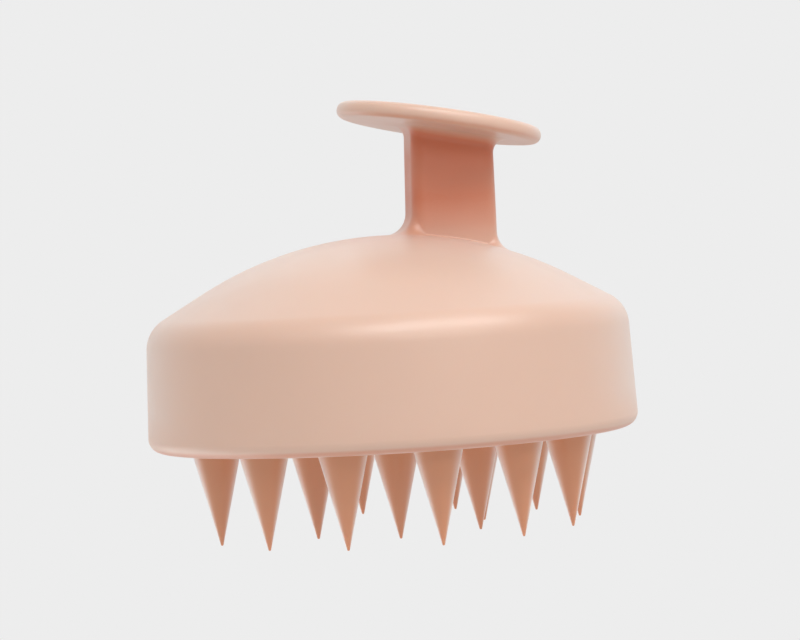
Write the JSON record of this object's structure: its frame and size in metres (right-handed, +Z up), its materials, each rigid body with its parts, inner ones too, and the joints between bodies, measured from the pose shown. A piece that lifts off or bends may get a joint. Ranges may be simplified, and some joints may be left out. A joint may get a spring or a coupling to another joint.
{
  "type": "scalp massager brush",
  "caption": "Hand-held bell-shaped scalp massager with a flat offset neck, an oval finger plate and a pull-off pad of conical silicone bristles.",
  "frame": {"origin": "on the round body's axis, in the plane of the bristle tips that the brush stands on", "axes": "+Z up along the body's axis, +X towards the side where the neck and finger plate are offset, X-Z the mirror plane of the handle"},
  "size_m": [0.0878, 0.0878, 0.0772],
  "materials": {
    "shell_plastic": "fine satin-matte moulded plastic, warm peach",
    "cap_plastic": "fine satin-matte moulded plastic, warm peach",
    "collar_plastic": "matte moulded plastic, warm peach",
    "bristle_silicone": "soft translucent matte silicone, warm peach",
    "inner_plastic": "natural off-white moulded plastic",
    "seal_silicone": "satin translucent grey silicone",
    "screw_steel": "plain zinc-bright steel"
  },
  "bodies": {
    "handle": {"body_shell": "shell_plastic", "grip_cap": "cap_plastic", "cap_gasket": "seal_silicone", "cap_screws": "screw_steel", "chassis": "inner_plastic", "chassis_screws": "screw_steel", "rim_collar": "collar_plastic"},
    "brush_head": {"bristle_pad": "bristle_silicone", "head_carrier": "inner_plastic", "stem_o_ring": "seal_silicone", "retainer_ring": "inner_plastic", "retainer_screws": "screw_steel"}
  },
  "joints": [
    {"name": "head_pull_off", "type": "slide", "parent": "handle", "child": "brush_head", "axis": [0, 0, -1], "range_m": [0, 0.024]}
  ]
}
